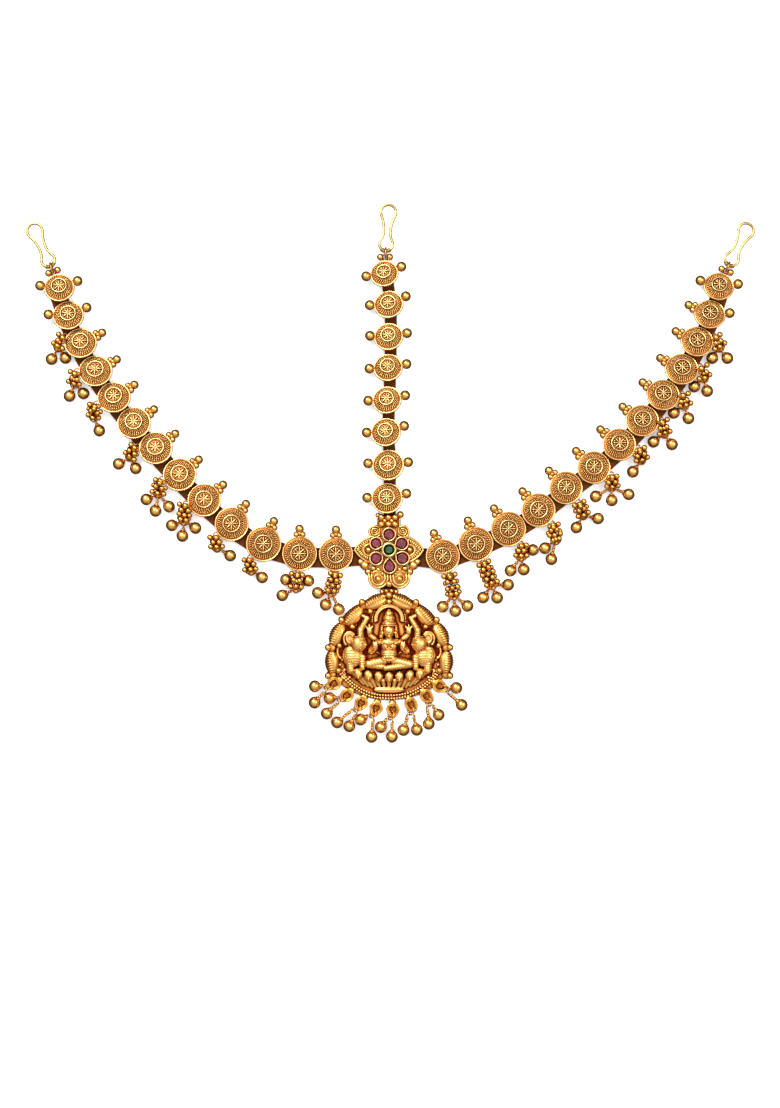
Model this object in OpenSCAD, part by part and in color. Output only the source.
// Head ornament in antique gold: two arms and a centre strip of linked granulated discs, a flower
// medallion with coloured stones where they meet, and a cast pendant with ball drops below it.
// The piece lies face up: +X to the wearer's left, +Y to the crown, +Z out of the face.

/* [Discs] */
// Diameter of a full-size disc of the two arms
disc_d = 12; // [11.4:0.1:12.4]
// Diameter of a full-size disc of the centre strip
strip_disc_d = 11.2; // [10.6:0.1:11.6]
// Height of a disc from its flat back to the top of its boss
disc_rise = 3; // [2.4:0.1:3.4]
// Diameter of the raised boss of a full-size arm disc
boss_d = 5.8; // [5:0.1:6.4]
// Thickness of the bead wire around a disc's rim and boss
rim_wire = 0.8; // [0.6:0.05:0.9]
// Width of the spokes that cross the boss
spoke_w = 0.45; // [0.35:0.05:0.6]
// Greatest lean of a disc towards the crown, in degrees
disc_lean = 20; // [14:1:21]

/* [Links] */
// Clear gap between the rims of two arm discs that lie level
arm_gap = 0.7; // [0.6:0.05:0.9]
// Clear gap between the rims of two discs of the centre strip
strip_gap = 1.4; // [1.2:0.1:1.8]
// Side of the square wire of the staples under each disc
staple_wire = 0.55; // [0.4:0.05:0.6]
// Distance between the two legs of a staple, centre to centre
staple_span = 2.2; // [2.1:0.1:2.5]
// Distance of a staple's outer leg in from the disc's rim
staple_inset = 2.2; // [2:0.1:2.5]
// Thickness of the back plates that join the discs
plate_t = 0.5; // [0.4:0.05:0.7]
// Width of the back plates behind the arm discs
plate_w = 6.8; // [6:0.1:7.2]
// Wall between a back plate's hole and its end
plate_wall = 0.6; // [0.5:0.05:0.7]
// Clearance around a wire that passes through a hole or a loop
fit = 0.35; // [0.25:0.05:0.4]
// Gap between parts that lie over each other
lay_gap = 0.15; // [0.1:0.05:0.25]

/* [Beads and drops] */
// Diameter of the hanging balls
ball_d = 4.2; // [3.8:0.1:4.3]
// Diameter of the small balls in the clusters
seed_d = 1.95; // [1.8:0.05:2.1]
// Diameter of the large ball of a trefoil on a disc's rim
trefoil_d = 3; // [2.6:0.1:3.3]
// Diameter of a single ball on a disc's rim
side_ball_d = 3.5; // [3:0.1:3.7]
// Thickness of the round wire of loops and rings
ring_wire = 0.5; // [0.4:0.05:0.55]

/* [Medallion] */
// Distance from the medallion's centre to its left and right tips
medallion_reach = 12.3; // [12:0.1:12.6]
// Thickness of the medallion's flat core
core_t = 1.6; // [1.5:0.05:1.8]
// Diameter of the medallion's flat core
core_d = 14.4; // [13.6:0.1:14.8]
// Diameter of the green centre stone
centre_stone_d = 3.9; // [3.4:0.1:4.2]
// Diameter of the red stones around it
petal_stone_d = 4; // [3.6:0.1:4.2]
// Wall of the stone settings
bezel_wall = 0.4; // [0.3:0.05:0.5]
// Gap between a stone and its setting
stone_gap = 0.08; // [0.05:0.01:0.12]

/* [Pendant] */
// Width of the pendant over its shells
pendant_w = 45; // [44:0.5:46]
// Thickness of the pendant's back plate
pendant_t = 1.2; // [1:0.1:1.4]
// Distance of the pendant's centre below the medallion's centre
pendant_drop = 35.1; // [34.8:0.1:36]

/* [Hooks] */
// Thickness of the hook wire
hook_wire = 0.95; // [0.8:0.05:1]
// Length of a hook from its closed foot to its tip
hook_len = 17.5; // [16:0.5:19]
// Width of a hook's round head over the wire
hook_w = 6.3; // [6:0.1:7]

/* [Hidden] */
$fn = 20;

wire_r = ring_wire / 2;
ball_r = ball_d / 2;
seed_r = seed_d / 2;
plate_z = staple_wire + lay_gap;
ride_z = plate_z + plate_t + lay_gap;
hole_r = staple_wire * 0.7071 + fit;
hang_r = 0.62 + wire_r;
drop_ring_r = 0.55 + wire_r;
cluster_ring_r = 1.25 + wire_r;
cluster_z = drop_ring_r + wire_r + lay_gap;

// Columns: heading from the piece before it, size as a share of disc_d, gap as a share of arm_gap,
// directions of the trefoils, directions of the single balls. The first row lies by the medallion.
LEFT_ARM = [
    [-5, 1, 0.5, [90], []],
    [1, 1.02, 0.9, [90], []],
    [15, 1.03, 1, [66], []],
    [32, 1, 1.4, [55], []],
    [41, 0.98, 1.2, [40], []],
    [46, 0.98, 1, [39], []],
    [48, 0.98, 1.2, [38], []],
    [49, 0.98, 0.1, [36], []],
    [52, 0.97, 0, [34], []],
    [55, 0.98, 0, [31], []],
    [62, 0.95, 0, [28], []],
    [66, 0.91, 0, [], [178, 25]],
    [72, 0.88, 0, [], [174, 22]]
];
RIGHT_ARM = [
    [-7, 1, 0.9, [111], []],
    [20, 1.02, 0.4, [109], []],
    [25, 1.03, 0.3, [125], []],
    [32, 1, 0.3, [130], []],
    [39, 0.98, 0.7, [134], []],
    [36, 0.98, 0.5, [136], []],
    [42, 0.98, 0.5, [140], []],
    [46, 0.98, 0, [143], []],
    [51, 0.97, 0.2, [146], []],
    [54, 0.98, -0.2, [150], []],
    [61, 0.95, 0, [152], []],
    [65, 0.91, -0.1, [154], [3]],
    [72, 0.88, 0.1, [], [161, 7]]
];
// Columns: heading from the piece before it, size as a share of strip_disc_d, gap as a share of
// strip_gap, lean as a share of disc_lean, directions of the single balls.
STRIP = [
    [92, 0.98, 0.1, 0.65, [178, 13]],
    [88, 1, 0.55, 0.85, [174, 7]],
    [94, 0.94, 0.8, 1, [180, 18]],
    [88, 0.91, 1, 1, [181, 13]],
    [88, 0.91, 1.2, 1, [182, 9]],
    [89, 0.91, 0.8, 1, [176, 9]],
    [90, 0.92, 1.1, 1, [181, 25]],
    [98, 0.88, 1, 1, [188, 21]]
];
// Columns: row of the disc that carries it, direction of its loop on the rim, direction in which the
// cluster lies, its length as a share of disc_d, small balls in its widest rows, then for each hanging
// ball its direction and its distance from the cluster's ring as a share of ball_d.
LEFT_CLUSTERS = [
    [0, 270, -104, 0.57, 3, [[-177, 1.12], [-114, 1.15], [-66, 1.56]]],
    [1, 265, -96, 0.45, 2, [[-153, 1.31], [140, 1.12], [32, 1.2]]],
    [2, 225, -85, 0.38, 3, [[-31, 1.08]]],
    [3, 215, -87, 0.38, 3, [[-30, 1.28]]],
    [4, 190, -97, 0.52, 3, [[-161, 1.08], [-96, 1.25], [-31, 1.12]]],
    [5, 194, -104, 0.45, 3, [[-156, 1.08], [-99, 1.42], [-49, 1.38]]],
    [6, 175, -128, 0.38, 3, [[-148, 1.08], [-62, 1.08]]],
    [8, 201, -105, 0.41, 3, [[-67, 1.2]]],
    [9, 180, -104, 0.38, 2, [[-112, 1.08], [-46, 1.1]]],
    [10, 155, -122, 0.38, 2, [[-119, 1.12], [-55, 1.08]]]
];
RIGHT_CLUSTERS = [
    [0, -70, -78, 0.64, 3, [[-135, 1.32], [-84, 1.31], [-37, 1.44]]],
    [1, -68, -69, 0.72, 3, [[-126, 1.28], [-68, 1.14], [1, 1.34]]],
    [2, -50, -89, 0.38, 3, [[-128, 1.44], [-78, 1.08], [31, 1.14]]],
    [3, -45, -77, 0.51, 3, [[-145, 1.1], [-103, 1.6]]],
    [4, -50, -67, 0.43, 3, [[-121, 1.16], [-11, 1.24]]],
    [5, -22, -86, 0.38, 3, [[-151, 1.54], [-90, 1.08], [-22, 1.53]]],
    [6, -10, -71, 0.39, 3, [[-128, 1.2]]],
    [7, 4, -74, 0.43, 2, [[-144, 1.14], [-55, 1.08]]],
    [8, 6, -72, 0.38, 2, [[-148, 1.1], [-74, 1.08]]],
    [9, 11, -68, 0.38, 2, [[-141, 1.08], [-77, 1.08]]],
    [10, 20, -61, 0.38, 2, [[-126, 1.08], [-54, 1.08]]]
];
// Columns: place of the loop as shares of half the pendant's width, then for each hanging ball its
// direction and its distance from the loop as a share of ball_d.
PENDANT_LOOPS = [
    [-0.85, -0.52, [[-172, 1.65], [-136, 2.3]]],
    [-0.65, -0.7, [[-170, 1.5], [-138, 2.3]]],
    [-0.43, -0.82, [[-141, 2.6], [-117, 2.2]]],
    [-0.2, -0.9, [[-143, 1.62], [-99, 2.45]]],
    [0.06, -0.92, [[-124, 1.8], [-92, 2.3]]],
    [0.34, -0.84, [[-106, 2.25], [-77, 2.2]]],
    [0.58, -0.71, [[-85, 2.35], [-57, 1.9]]],
    [0.78, -0.56, [[-6, 1.45], [-40, 2.45]]]
];
// Columns: name, direction from the centre, distance and size as shares of petal_stone_d, and how far
// its tip reaches towards the centre as a share of its radius.
PETAL_STONES = [
    ["ruby_top", 90, 1.34, 1, 1.1],
    ["ruby_upper_left", 154, 1.27, 0.94, 1.15],
    ["ruby_upper_right", 26, 1.25, 1, 1.25],
    ["ruby_lower_left", 214, 1.36, 1, 1.15],
    ["ruby_lower_right", 328, 1.4, 1.04, 1.25],
    ["ruby_bottom", 272, 1.5, 1, 1.6]
];

function two(n) = n < 10 ? str("0", n) : str(n);
DISC_NODES = [
    for (k = [0:len(LEFT_ARM) - 1]) str("disc_left_", two(len(LEFT_ARM) - k)),
    for (k = [0:len(RIGHT_ARM) - 1]) str("disc_right_", two(len(RIGHT_ARM) - k)),
    for (k = [0:len(STRIP) - 1]) str("disc_centre_", two(len(STRIP) - k))
];

function flat(a) = [cos(a), sin(a), 0];
function bearing(v) = atan2(v[1], v[0]);
// A vector after the lean of its disc: the part along the lean's direction tips down.
function leaned(v, lean, to) = let (
    c = v[0] * cos(to) + v[1] * sin(to),
    p = -v[0] * sin(to) + v[1] * cos(to),
    c2 = c * cos(lean) + v[2] * sin(lean),
    z2 = v[2] * cos(lean) - c * sin(lean)
) [c2 * cos(to) - p * sin(to), c2 * sin(to) + p * cos(to), z2];
// How far a leaning disc reaches along a heading, seen from above.
function reach(d, lean, to, heading) = let (a = heading - to)
    d / 2 * sqrt(pow(sin(a), 2) + pow(cos(a) * cos(lean), 2));

arm_to = 90;
strip_to = 112;
strip_start = 12.4;
function arm_lean(k) = disc_lean * max(0.08, min(1, (k - 1) / 7));
function arm_d(arm, k) = disc_d * arm[k][1];
function arm_heading(arm, side, k) = side > 0 ? arm[k][0] : 180 - arm[k][0];
function arm_reach(arm, k, heading) = reach(arm_d(arm, k), arm_lean(k), arm_to, heading);
function arm_at(arm, side, k) = let (h = arm_heading(arm, side, k))
    k == 0
    ? flat(h) * (medallion_reach + arm[0][2] * arm_gap + arm_reach(arm, 0, h))
    : arm_at(arm, side, k - 1) + flat(h)
        * (arm_reach(arm, k - 1, h) + arm[k][2] * arm_gap + arm_reach(arm, k, h));
function strip_lean(k) = disc_lean * STRIP[k][3];
function strip_d(k) = strip_disc_d * STRIP[k][1];
function strip_reach(k) = reach(strip_d(k), strip_lean(k), strip_to, STRIP[k][0]);
function strip_at(k) = k == 0
    ? flat(STRIP[0][0]) * (strip_start + STRIP[0][2] * strip_gap + strip_reach(0))
    : strip_at(k - 1) + flat(STRIP[k][0])
        * (reach(strip_d(k - 1), strip_lean(k - 1), strip_to, STRIP[k][0])
            + STRIP[k][2] * strip_gap + strip_reach(k));
// Height of a disc's back at its centre, so that its lowest edge clears the back plates.
function disc_z(d, lean) = ride_z + d / 2 * sin(lean);

module rod(from, to, r) {
    v = to - from;
    translate(from) rotate([0, acos(v[2] / norm(v)), bearing(v)]) cylinder(h = norm(v), r = r);
}

module ring(r, wire) {
    rotate_extrude() translate([r, 0]) circle(r = wire);
}

// A ring that stands on edge, its plane holding the given direction.
module upright_ring(at, direction, r, wire) {
    translate(at) rotate([0, 0, direction]) rotate([90, 0, 0]) ring(r, wire);
}

// Domed disc: flat back, bead wire at the rim, a shallow cone, and a raised boss with spokes.
module dome(d) {
    rim = rim_wire / 2;
    r = d / 2;
    boss = boss_d / disc_d * d / 2;
    back_z = 0.12 * rim_wire;
    floor_z = disc_rise - 0.8 * rim_wire;
    color("goldenrod") {
        rotate_extrude() polygon([
            [0, back_z], [r - rim, back_z], [r - rim, 0.8 * rim_wire], [r - 1.4 * rim_wire, 1.1 * rim_wire],
            [boss + rim, floor_z - rim], [boss, floor_z], [0, floor_z]
        ]);
        translate([0, 0, rim]) ring(r - rim, rim);
        translate([0, 0, floor_z]) ring(boss, 0.42 * rim_wire);
        translate([0, 0, floor_z - 0.2]) linear_extrude(0.2 + spoke_w)
            for (a = [0:45:135]) rotate(a) square([2 * (boss - 0.45 * rim_wire), spoke_w], center = true);
    }
}

module trefoil(d, direction) {
    big = trefoil_d / 2;
    small = big * 0.68;
    color("goldenrod") rotate(direction) translate([d / 2 + 0.6 * small, 0, rim_wire * 0.7]) {
        for (s = [-1, 1]) translate([0, s * small * 1.1, 0]) sphere(small);
        translate([big * 1.35, 0, 0.15]) sphere(big);
        translate([small * 0.4, 0, 0]) sphere(small * 0.8);
    }
}

module side_ball(d, direction) {
    color("goldenrod") rotate(direction)
        translate([d / 2 + side_ball_d * 0.43, 0, rim_wire]) sphere(d = side_ball_d);
}

// Flat loop soldered to a disc's rim, from which a cluster hangs.
hang_out = hang_r - wire_r;
module hang_loop(d, direction) {
    color("goldenrod") rotate(direction)
        translate([d / 2 + hang_out, 0, rim_wire * 0.7]) ring(hang_r, wire_r);
}

// Flat loop with two small balls beside it, for the ring of a hook.
hook_eye_r = 0.75 + wire_r;
hook_eye_out = 1.3;
module hook_eye(d, direction) {
    bead = 1.15;
    color("goldenrod") rotate(direction) translate([d / 2 + hook_eye_out, 0, rim_wire * 0.7]) {
        ring(hook_eye_r, wire_r * 1.1);
        for (s = [-1, 1]) translate([-0.25, s * (bead + 0.55), 0.75]) sphere(bead);
        for (s = [-1, 1]) translate([-1.4, s * 0.75, 0]) rotate([0, 90, 0]) cylinder(h = 1, r = wire_r);
    }
}

// Wire staple under a disc: two upright legs into the disc's back and a foot that joins them.
// The back plate's end lies between the foot and the disc, with its hole around the outer leg.
module staple(at, direction, d, lean, to) {
    outer = d / 2 - staple_inset;
    w = staple_wire;
    back = disc_z(d, lean);
    color("goldenrod") translate([at[0], at[1], 0]) {
        for (x = [outer, outer - staple_span]) {
            p = flat(direction) * x;
            lift = back - tan(lean) * (p[0] * cos(to) + p[1] * sin(to));
            translate(p) rotate(direction) translate([-w / 2, -w / 2, 0]) cube([w, w, lift + 0.45]);
        }
        rotate(direction) translate([outer - staple_span, -w / 2, 0]) cube([staple_span, w, w]);
    }
}

module disc(at, d, lean, to, trefoils, balls, loops, eyes, links) {
    translate([at[0], at[1], disc_z(d, lean)])
        rotate(a = lean, v = [-sin(to), cos(to), 0]) {
            dome(d);
            for (a = trefoils) trefoil(d, a);
            for (a = balls) side_ball(d, a);
            for (a = loops) hang_loop(d, a);
            for (a = eyes) hook_eye(d, a);
        }
    for (a = links) staple(at, a, d, lean, to);
}

function loop_directions(clusters, k) = [for (c = clusters) if (c[0] == k) c[1]];

module arm_disc(arm, side, clusters, k) {
    last = len(arm) - 1;
    h = arm_heading(arm, side, k);
    disc(
        arm_at(arm, side, k), arm_d(arm, k), arm_lean(k), arm_to, arm[k][3], arm[k][4],
        loop_directions(clusters, k),
        k == last ? [side > 0 ? 65 : 112] : [],
        k == last ? [h + 180] : [h + 180, arm_heading(arm, side, k + 1)]
    );
}

module strip_disc(k) {
    last = len(STRIP) - 1;
    disc(
        strip_at(k), strip_d(k), strip_lean(k), strip_to, [], STRIP[k][4], [],
        k == last ? [88] : [],
        k == last ? [STRIP[k][0] + 180] : [STRIP[k][0] + 180, STRIP[k + 1][0]]
    );
}

// Back plate between two staples: rounded ends, a hole at each, set over to one side.
module back_plate(from, to, w, shift) {
    v = to - from;
    end = hole_r + plate_wall;
    length = norm(v) + 2 * end;
    color("sienna") translate([from[0], from[1], plate_z]) rotate(bearing(v))
        linear_extrude(plate_t) difference() {
            translate([norm(v) / 2, shift]) intersection() {
                square([length, w], center = true);
                circle(r = norm([length, w]) / 2 * 0.86);
            }
            circle(r = hole_r);
            translate([norm(v), 0]) circle(r = hole_r);
        }
}

medallion_leg = 10.7;
plate_shift = 1.3;
function leg_at(at, d, direction) = at + flat(direction) * (d / 2 - staple_inset);

module arm_plates(arm, side) {
    for (k = [0:len(arm) - 1]) {
        h = arm_heading(arm, side, k);
        from = k == 0
            ? flat(h) * medallion_leg
            : leg_at(arm_at(arm, side, k - 1), arm_d(arm, k - 1), h);
        to = leg_at(arm_at(arm, side, k), arm_d(arm, k), h + 180);
        back_plate(from, to, plate_w * arm[k][1], -side * plate_shift);
    }
}

module strip_plates() {
    for (k = [0:len(STRIP) - 1]) {
        h = STRIP[k][0];
        from = k == 0 ? flat(h) * medallion_leg : leg_at(strip_at(k - 1), strip_d(k - 1), h);
        to = leg_at(strip_at(k), strip_d(k), h + 180);
        back_plate(from, to, plate_w * 0.62, -0.7);
    }
}

// Place of a disc's hanging loop after the disc's lean.
function loop_at(at, d, lean, to, direction, out) =
    [at[0], at[1], disc_z(d, lean)]
    + leaned(flat(direction) * (d / 2 + out) + [0, 0, rim_wire * 0.7], lean, to);

function cluster_loop(arm, side, c) =
    loop_at(arm_at(arm, side, c[0]), arm_d(arm, c[0]), arm_lean(c[0]), arm_to, c[1], hang_out);
// Centre of the flat ring at a cluster's lower end.
function cluster_end(arm, side, c) = let (
    a = cluster_loop(arm, side, c),
    p = a + flat(c[2]) * c[3] * disc_d
) [p[0], p[1], cluster_z];

// Bunch of small balls on a core bar that lies over the two end rings: rows of two and three balls
// on cross wires and single balls above them, each clear of its neighbours.
module cluster(arm, side, c) {
    a = cluster_loop(arm, side, c);
    p = cluster_end(arm, side, c);
    top = a + flat(c[2]) * (hang_r + 0.1);
    start = top + [0, 0, hang_r + 0.6];
    stop = [p[0], p[1], cluster_z + drop_ring_r + seed_r + 0.5] - flat(c[2]) * cluster_ring_r * 0.6;
    v = stop - start;
    rows = max(2, round(norm(v) / (1.8 * seed_r)) + 1);
    pitch = norm(v) / (rows - 1);
    small = min(seed_r, pitch * (c[4] == 3 ? 0.54 : 0.47));
    post = p - flat(c[2]) * cluster_ring_r;
    color("goldenrod") {
        upright_ring(top, c[2], hang_r, wire_r);
        translate(p) ring(cluster_ring_r, wire_r);
        translate(top + [0, 0, hang_r]) cylinder(h = 0.6, r = 0.32);
        translate(post) cylinder(h = stop[2] - p[2] + 0.1, r = 0.38);
        translate(start) rotate([0, 0, c[2]]) rotate([0, acos(v[2] / norm(v)) - 90, 0]) {
            translate([-0.2, -0.4, -0.35]) cube([norm(v) + 0.4, 0.8, 0.7]);
            for (k = [0:rows - 1]) translate([k * pitch, 0, 0]) {
                wide = c[4] == 3 && k % 2 == 1;
                side_y = (wide ? 2.12 : 1.06) * small;
                rotate([90, 0, 0]) cylinder(h = 2 * side_y, r = 0.3, center = true);
                for (y = wide ? [-side_y, 0.01, side_y] : [-side_y, side_y]) translate([0, y, 0]) sphere(small);
                if (!wide) {
                    cylinder(h = 1.7 * small, r = 0.3);
                    translate([0.05, 0, 1.78 * small]) sphere(small * 0.95);
                }
            }
        }
    }
}

// Hanging ball with its wire ring; the ring stands on edge around the wire of the ring it hangs from.
module ball_drop(ring_at, ball_at, twist = 0) {
    a = bearing(ball_at - ring_at);
    color("goldenrod") {
        upright_ring(ring_at, a + twist, drop_ring_r, wire_r);
        rod(ring_at + flat(a + twist) * drop_ring_r, ball_at, wire_r * 1.3);
        translate(ball_at) rotate([0, 0, a]) sphere(ball_r);
    }
}

module cluster_balls(arm, side, clusters) {
    for (c = clusters) {
        p = cluster_end(arm, side, c);
        for (b = c[5]) {
            ring_at = p + flat(b[0]) * (cluster_ring_r + 0.1);
            ball_drop(ring_at, [p[0], p[1], ball_r] + flat(b[0]) * b[1] * ball_d);
        }
    }
}

// Hooks

hook_ring_r = 1.75;
hook_ring_wire = 0.32;
// Distance of a ring's centre from its eye as a share of the ring's radius
hook_ring_share = 0.86;
foot_r = 2.4;
waist_r = 1.15;
waist_share = 0.42;
// Points of a circular arc from one angle to another, without its last point.
function arc(at, r, from, to, steps) =
    [for (i = [0:steps - 1]) at + flat(from + (to - from) * i / steps) * r];

// Centre line of a hook, one closed bend: round head, pinched waist and wider foot.
function hook_path() = let (
    w = hook_wire / 2,
    head_r = hook_w / 2 - w,
    head = [0, hook_len - w - head_r, 0],
    foot = [0, foot_r + w, 0],
    waist_y = hook_len * waist_share,
    up = head[1] - waist_y,
    down = waist_y - foot[1],
    up_r = (waist_r * waist_r + up * up - head_r * head_r) / (2 * (head_r - waist_r)),
    down_r = (waist_r * waist_r + down * down - foot_r * foot_r) / (2 * (foot_r - waist_r)),
    up_a = atan2(up, waist_r + up_r),
    down_a = atan2(down, waist_r + down_r)
) concat(
    arc(head, head_r, -up_a, 180 + up_a, 14),
    arc([-waist_r - up_r, waist_y, 0], up_r, up_a, 0, 3),
    arc([-waist_r - down_r, waist_y, 0], down_r, 0, -down_a, 3),
    arc(foot, foot_r, 180 - down_a, 360 + down_a, 18),
    arc([waist_r + down_r, waist_y, 0], down_r, 180 + down_a, 180, 3),
    arc([waist_r + up_r, waist_y, 0], up_r, 180, 180 - up_a, 3)
);

// Hook of one bent wire, seven-sided, its foot thickened where the closing coil is wound.
module hook_shape() {
    sides = 7;
    path = hook_path();
    n = len(path);
    color("khaki") polyhedron(
        points = [
            for (i = [0:n - 1])
                let (
                    v = path[(i + 1) % n] - path[(i + n - 1) % n],
                    out = [v[1], -v[0], 0] / norm(v),
                    coil = abs(path[i][0]) < 1.5 && path[i][1] < foot_r,
                    r = hook_wire / 2 + (coil ? (i % 2 == 0 ? 0.32 : 0.1) : 0)
                )
                for (j = [0:sides - 1]) path[i] + out * r * cos(360 * j / sides) + [0, 0, r * sin(360 * j / sides)]
        ],
        faces = [
            for (i = [0:n - 1], j = [0:sides - 1])
                let (a = i * sides, b = (i + 1) % n * sides, j2 = (j + 1) % sides)
                    [a + j, a + j2, b + j2, b + j]
        ]
    );
}

function arm_eye(arm, side) = let (k = len(arm) - 1)
    loop_at(arm_at(arm, side, k), arm_d(arm, k), arm_lean(k), arm_to, side > 0 ? 65 : 112, hook_eye_out);
function strip_eye() = let (k = len(STRIP) - 1)
    loop_at(strip_at(k), strip_d(k), strip_lean(k), strip_to, 88, hook_eye_out);
// Columns: place of the eye, direction of the ring, direction of the hook.
HOOKS = [
    [arm_eye(LEFT_ARM, -1), 108, 115],
    [arm_eye(RIGHT_ARM, 1), 68, 63],
    [strip_eye(), 87, 86]
];
function hook_ring_at(h) = let (p = h[0] + flat(h[1]) * hook_ring_r * hook_ring_share)
    [p[0], p[1], hook_ring_r + hook_ring_wire];
function hook_foot(h) = hook_ring_at(h) + flat(h[2]) * 0.15;
module hook(h) {
    foot = hook_foot(h);
    dip = asin((foot[2] - hook_wire / 2) / (hook_len - hook_wire));
    translate(foot) rotate([0, 0, h[2] - 90]) rotate([-dip, 0, 0]) hook_shape();
}
module hook_rings() {
    color("goldenrod") for (h = HOOKS) upright_ring(hook_ring_at(h), h[1], hook_ring_r, hook_ring_wire);
}

// Medallion

bezel_z = core_t - 0.2;
bezel_h = 2.2;
seat_h = 1;
// Outline of a drop-shaped stone, its tip towards +X by a share of its radius.
module drop_outline(r, tip) {
    a = acos(1 / tip);
    circle(r = r);
    polygon([[r * cos(a), -r * sin(a)] * 0.99, [r * tip, 0], [r * cos(a), r * sin(a)] * 0.99]);
}

function stone_r(s) = petal_stone_d * s[3] / 2;
module stone_place(s) {
    rotate(s[1]) translate([petal_stone_d * s[2], 0, bezel_z]) rotate(180) children();
}

module bezel(r, tip, h) {
    difference() {
        linear_extrude(h) drop_outline(r + bezel_wall, tip);
        translate([0, 0, seat_h]) linear_extrude(h) drop_outline(r, tip);
    }
}

// Faceted stone: a straight girdle and a sloped crown up to a flat table.
module cut_stone(r, tip, h) {
    hull() {
        linear_extrude(h * 0.45) drop_outline(r, tip, $fn = 12);
        translate([0, 0, h]) linear_extrude(0.01) drop_outline(r * 0.62, tip, $fn = 12);
    }
}

module petal_stone(s) {
    color("mediumvioletred") stone_place(s) translate([0, 0, seat_h + stone_gap])
        cut_stone(stone_r(s) - stone_gap, s[4], bezel_h - seat_h + 0.5);
}

module emerald() {
    color("darkgreen") translate([0, 0, bezel_z + seat_h + stone_gap])
        cut_stone(centre_stone_d / 2 - stone_gap, 1.02, bezel_h - seat_h + 0.9);
}

leaf_z = ride_z;
leaf_t = bezel_z + seat_h - leaf_z;
// Side leaf: where two wide circles cross, with a ribbed edge, an inner crescent and a ball.
module leaf() {
    leaf_r = 9;
    off = 4;
    root = medallion_reach - sqrt(leaf_r * leaf_r - off * off);
    intersection() {
        translate([root, -off, leaf_z]) cylinder(h = leaf_t, r = leaf_r);
        translate([root, off, leaf_z]) cylinder(h = leaf_t, r = leaf_r);
        translate([root, -leaf_r, leaf_z]) cube([leaf_r, 2 * leaf_r, leaf_t]);
    }
    top = leaf_z + leaf_t;
    translate([6.6, 0, top]) {
        for (a = [-66:12:66]) rotate(a) translate([2.9, 0, -0.1]) rotate([0, 90, 0])
            cylinder(h = 2.1 - 1.3 * abs(a) / 66, r = 0.36);
        rotate(-80) rotate_extrude(angle = 160) translate([2.7, 0]) circle(r = 0.45);
        translate([0.9, 0, 0]) sphere(1);
    }
}

// Staple on the medallion's side: the leaf or tab above it carries the two legs.
module medallion_staple(direction) {
    w = staple_wire;
    rotate(direction) {
        for (x = [medallion_leg, medallion_leg - staple_span])
            translate([x - w / 2, -w / 2, 0]) cube([w, w, leaf_z + 0.4]);
        translate([medallion_leg - staple_span, -w / 2, 0]) cube([staple_span, w, w]);
    }
}

// Ball with a flat foot where the leaves lie over the back plates.
module half_ball(at, r) {
    difference() {
        translate([at[0], at[1], leaf_z + at[2]]) sphere(r);
        translate([at[0] - 2 * r, at[1] - 2 * r, leaf_z - 4 * r]) cube(4 * r);
    }
}

module scroll(at, r, wire) {
    translate([at[0], at[1], leaf_z]) {
        cylinder(h = 0.7, r = r + wire * 0.6);
        translate([0, 0, 0.7]) ring(r, wire);
        translate([0, 0, 0.6]) ring(r * 0.5, wire * 0.8);
        translate([0, 0, 0.7]) sphere(r * 0.32);
    }
}

module medallion() {
    color("goldenrod") {
        cylinder(h = core_t, d = core_d);
        for (s = [0, 1]) mirror([s, 0, 0]) {
            leaf();
            scroll([4.9, 6.7], 1.65, 0.42);
            scroll([3.9, -10.1], 2.65, 0.48);
            half_ball([8.5, -5.4, 0.4], 1.7);
            half_ball([9.9, -4.2, 0.2], 1.2);
            half_ball([7.3, -7.7, 0.2], 1.2);
        }
        translate([-4, 5, leaf_z]) cube([8, 6.8, 0.8]);
        for (x = [-2.7, -0.2, 2.1], y = [8.9, 11.3]) half_ball([x, y, 1], 1.22);
        half_ball([4, 12.3, 1], 1.2);
        translate([-4.5, -12.1, leaf_z]) cube([9, 6.2, 0.9]);
        translate([-6.6, -9, leaf_z]) cube([13.2, 4, 0.7]);
        half_ball([0, -12, 1], 1.2);
        for (s = PETAL_STONES) stone_place(s) bezel(stone_r(s), s[4], bezel_h);
        translate([0, 0, bezel_z]) bezel(centre_stone_d / 2, 1.02, bezel_h + 0.4);
        medallion_staple(arm_heading(LEFT_ARM, -1, 0));
        medallion_staple(arm_heading(RIGHT_ARM, 1, 0));
        medallion_staple(STRIP[0][0]);
        medallion_staple(270);
    }
}

// Pendant: a round back plate with a seated goddess on a lotus, an elephant at each side, a frame of
// shells and balls, and a row of loops below.

half_w = pendant_w / 2;
tab_leg = 4.2;
pendant_top = pendant_drop - medallion_leg - tab_leg;
relief_z = pendant_t - 0.3;

module blob(at, size, turn = 0, sides = 8) {
    translate([at[0], at[1], relief_z + at[2]]) rotate(turn) scale(size) sphere(1, $fn = sides);
}

module limb(from, to, r1, r2) {
    hull() {
        translate([from[0], from[1], relief_z + from[2]]) sphere(r1, $fn = 6);
        translate([to[0], to[1], relief_z + to[2]]) sphere(r2, $fn = 6);
    }
}

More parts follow.
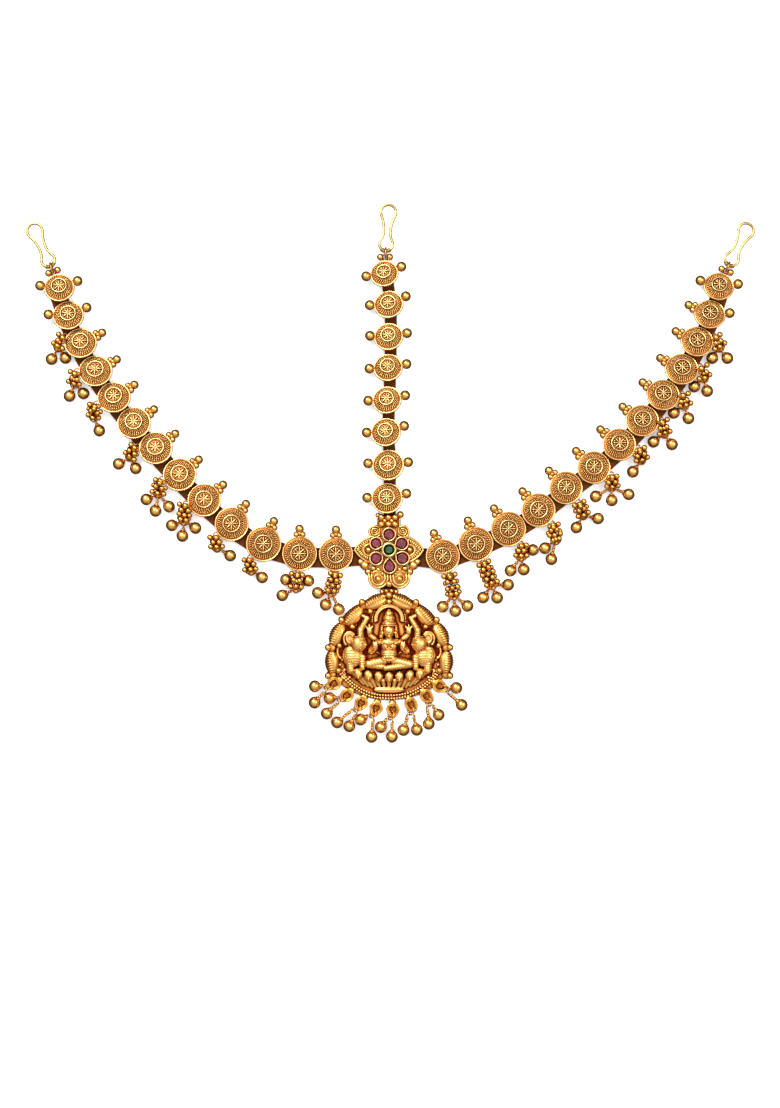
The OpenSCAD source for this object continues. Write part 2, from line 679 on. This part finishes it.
module goddess() {
    blob([0, -0.8, 1.6], [3, 4.4, 2.2]);
    blob([0, 2.4, 2], [3.9, 2, 1.9]);
    for (s = [-1, 1]) {
        blob([s * 1.45, 1.3, 3.1], [1.25, 1.3, 1.2], 0, 6);
        limb([s * 4, 2.6, 2], [s * 6.3, -0.3, 2.2], 1.4, 1.2);
        limb([s * 6.3, -0.3, 2.2], [s * 4.9, 0.6, 4], 1.2, 0.9);
        blob([s * 4.8, 1.5, 4.2], [1, 1.6, 0.8], 0, 6);
        limb([s * 4, 3, 1.2], [s * 6.6, 5.2, 1.5], 1.15, 0.9);
        blob([s * 6.9, 6.8, 1.8], [1.1, 1.7, 1.1], 0, 6);
        limb([s * 1.9, -3.7, 2], [s * 7, -4.9, 2], 1.8, 1.6);
        limb([s * 7, -5.2, 2], [-s * 1.2, -6.2, 3 + s * 0.3], 1.3, 1);
    }
    blob([0, 4.4, 2.4], [1.3, 1.5, 1.2], 0, 6);
    blob([0, 6.8, 2.9], [2.1, 2.4, 1.9], 0, 10);
    blob([0, 6.4, 4.8], [0.36, 0.65, 0.4], 0, 6);
    blob([0, 9.2, 2.8], [2.5, 1.1, 1.9]);
    blob([0, 11, 2.7], [2.1, 1.4, 1.7]);
    blob([0, 12.8, 2.4], [1.4, 1.4, 1.4]);
}

// Arched band behind the crown, open towards the shoulders.
module halo() {
    translate([0, 10.6, relief_z + 1]) rotate(-12)
        rotate_extrude(angle = 204, $fn = 20) translate([4.2, 0]) circle(r = 0.75, $fn = 5);
}

TRUNK = [[10, 2.6, 2.6], [10, 7, 2.4], [7.6, 11.2, 2], [9.2, 12, 1.9]];
module elephant() {
    blob([12.6, -1.8, 1.4], [3.7, 4.4, 2]);
    blob([10.6, 2.2, 2.2], [2.9, 3, 2.3]);
    for (k = [0:len(TRUNK) - 2]) limb(TRUNK[k], TRUNK[k + 1], 1.4 - 0.25 * k, 1.15 - 0.25 * k);
    blob([13.8, 3.9, 2.2], [2.1, 2.6, 0.9], -20);
    limb([9.4, -2.5, 1.6], [9.3, -6.2, 1.6], 1.4, 1.2);
    limb([13.6, -4, 1.4], [13.4, -7, 1.4], 1.6, 1.4);
}

module lotus() {
    for (k = [-3:3]) blob([k * 3.6, -9.3 + 0.12 * k * k, 1.8], [1.6, 2.1, 1.6], -k * 6, 8);
    for (k = [-4:4]) blob([k * 2.9, -11.9 + 0.14 * k * k, 0.9], [1.4, 2.3, 1.2], -k * 7, 6);
    blob([0, -13.9, 0.7], [5.5, 1.3, 1.1]);
}

// Domed shell of the frame, with a small ball at its lower end.
module shell(at, direction, length) {
    blob([at[0], at[1], 0.6], [length * 0.3, length / 2, 2.3], direction, 10);
    end = at - flat(direction + 90) * length * 0.36 - flat(direction) * length * 0.24;
    blob([end[0], end[1], 1.4], [1, 1, 1], 0, 6);
}

// Columns: place of each right-hand shell and small ball of the frame as shares of half the pendant's
// width, and for a shell its turn and its length as a share of pendant_w; the left side mirrors them.
SHELLS = [
    [0.2, 0.745, 66, 0.196],
    [0.545, 0.53, 42, 0.196],
    [0.8, 0.24, 24, 0.2],
    [0.885, -0.19, -4, 0.188]
];
FRAME_BALLS = [[0.42, 0.745], [0.74, 0.47], [0.95, 0.04], [0.95, -0.4]];

loop_r = 1.7;
loop_wire = 0.4;
loop_z = 1.8;
// Distance of a loop's pad from the pendant's centre as a share of the loop's own distance
loop_pad_share = 0.91;
module pendant_loop(at) {
    translate([at[0], at[1], loop_z])
        rotate_extrude($fn = 12) translate([loop_r, 0]) circle(r = loop_wire, $fn = 5);
    translate([at[0], at[1], 0] * loop_pad_share + [0, 0, 0.5]) cylinder(h = 1.35, r = 1.4, $fn = 6);
}

tab_w = 6.4;
tab_over = 1.3;
module pendant_ground() {
    translate([0, 0.0978, 0] * half_w) scale([1, 0.86, 1]) cylinder(h = pendant_t, r = half_w * 0.87, $fn = 36);
    translate([0, -0.1778, 0] * half_w) scale([1, 0.65, 1]) cylinder(h = pendant_t, r = half_w * 0.93, $fn = 36);
}

// Room for the end of the plate that joins the pendant to the medallion.
module plate_room() {
    end = hole_r + plate_wall + lay_gap;
    translate([-tab_w / 2 - 0.4, pendant_top - end, -half_w]) cube([tab_w + 0.8, half_w, half_w + ride_z]);
}

// Raised tab over that plate, with the staple below it.
module pendant_tab() {
    translate([-tab_w / 2, pendant_top - 3, ride_z]) cube([tab_w, 3 + tab_over, 1.2]);
    translate([-tab_w / 2, pendant_top - 5, 0.6]) cube([tab_w, 3, ride_z + 0.6]);
    w = staple_wire;
    for (y = [pendant_top, pendant_top - staple_span])
        translate([-w / 2, y - w / 2, 0]) cube([w, w, ride_z + 0.5]);
    translate([-w / 2, pendant_top - staple_span, 0]) cube([w, staple_span, w]);
}

// Half width for which the figures' places and sizes are given; they grow and shrink with the pendant.
figure_half_w = 22.5;
module figures() {
    grow = half_w / figure_half_w;
    scale([grow, grow, 1]) {
        goddess();
        halo();
        lotus();
        for (s = [0, 1]) mirror([s, 0, 0]) elephant();
    }
}

module pendant_frame() {
    for (s = [0, 1]) mirror([s, 0, 0]) {
        for (q = SHELLS) shell([q[0], q[1], 0] * half_w, q[2], q[3] * pendant_w);
        for (q = FRAME_BALLS) {
            blob([q[0] * half_w, q[1] * half_w, 1.1], [1.2, 1.2, 1.2]);
            translate([q[0], q[1], 0] * half_w * 0.94) cylinder(h = pendant_t, r = 2, $fn = 6);
        }
    }
}

module pendant() {
    color("goldenrod") translate([0, -pendant_drop, 0]) intersection() {
        union() {
            difference() {
                union() {
                    pendant_ground();
                    figures();
                    pendant_frame();
                }
                plate_room();
            }
            pendant_tab();
            for (q = PENDANT_LOOPS) pendant_loop([q[0], q[1]] * half_w);
        }
        translate([-1, -1, 0] * pendant_w) cube([2, 2, 1] * pendant_w);
    }
}

module pendant_plate() {
    back_plate([0, -medallion_leg, 0], [0, -medallion_leg - tab_leg, 0], tab_w * 0.94, 0);
}

// Rings in the pendant's loops, rolled half over, each holding two ball drops.
link_r = 1.55;
link_roll = 48;
link_z = 2;
link_out = 2.32;
// Turn of a drop's ring away from the drop's own direction, across the wire that it hangs from
link_twist = 28;
function mean_bearing(q) = let (v = [for (b = q[2]) flat(b[0])]) bearing(v[0] + v[1]);
function link_at(q) = [q[0] * half_w, q[1] * half_w - pendant_drop, link_z]
    + flat(mean_bearing(q)) * link_out;
module pendant_rings() {
    color("goldenrod") for (q = PENDANT_LOOPS)
        translate(link_at(q)) rotate(mean_bearing(q)) rotate([link_roll, 0, 0]) ring(link_r, wire_r);
}

// Point on a rolled ring at an angle from the direction in which its drops hang.
function link_point(q, a) = let (m = mean_bearing(q), x = link_r * cos(a), y = link_r * sin(a))
    link_at(q) + flat(m) * x + flat(m + 90) * y * cos(link_roll) + [0, 0, y * sin(link_roll)];

module pendant_balls() {
    for (q = PENDANT_LOOPS) {
        loop = [q[0] * half_w, q[1] * half_w - pendant_drop, 0];
        for (i = [0, 1]) {
            b = q[2][i];
            s = q[2][0][0] > q[2][1][0] ? 1 - 2 * i : 2 * i - 1;
            p = link_point(q, s * 48);
            ball_at = loop + flat(b[0]) * b[1] * ball_d + [0, 0, ball_r];
            d = bearing(ball_at - p);
            ball_drop(p + flat(d) * 0.15, ball_at, s * link_twist);
        }
    }
}

for (k = [0:len(LEFT_ARM) - 1])
    arm_disc(LEFT_ARM, -1, LEFT_CLUSTERS, k);
for (k = [0:len(RIGHT_ARM) - 1])
    arm_disc(RIGHT_ARM, 1, RIGHT_CLUSTERS, k);
for (k = [0:len(STRIP) - 1])
    strip_disc(k);
for (s = PETAL_STONES) petal_stone(s);
emerald();
medallion();
pendant();
hook(HOOKS[0]);  // hook_left
hook(HOOKS[1]);  // hook_right
hook(HOOKS[2]);  // hook_centre
hook_rings();
arm_plates(LEFT_ARM, -1);  // plates_left
arm_plates(RIGHT_ARM, 1);  // plates_right
strip_plates();  // plates_centre
pendant_plate();
for (c = LEFT_CLUSTERS) cluster(LEFT_ARM, -1, c);  // clusters_left
for (c = RIGHT_CLUSTERS) cluster(RIGHT_ARM, 1, c);  // clusters_right
cluster_balls(LEFT_ARM, -1, LEFT_CLUSTERS);  // balls_left
cluster_balls(RIGHT_ARM, 1, RIGHT_CLUSTERS);  // balls_right
pendant_rings();
pendant_balls();
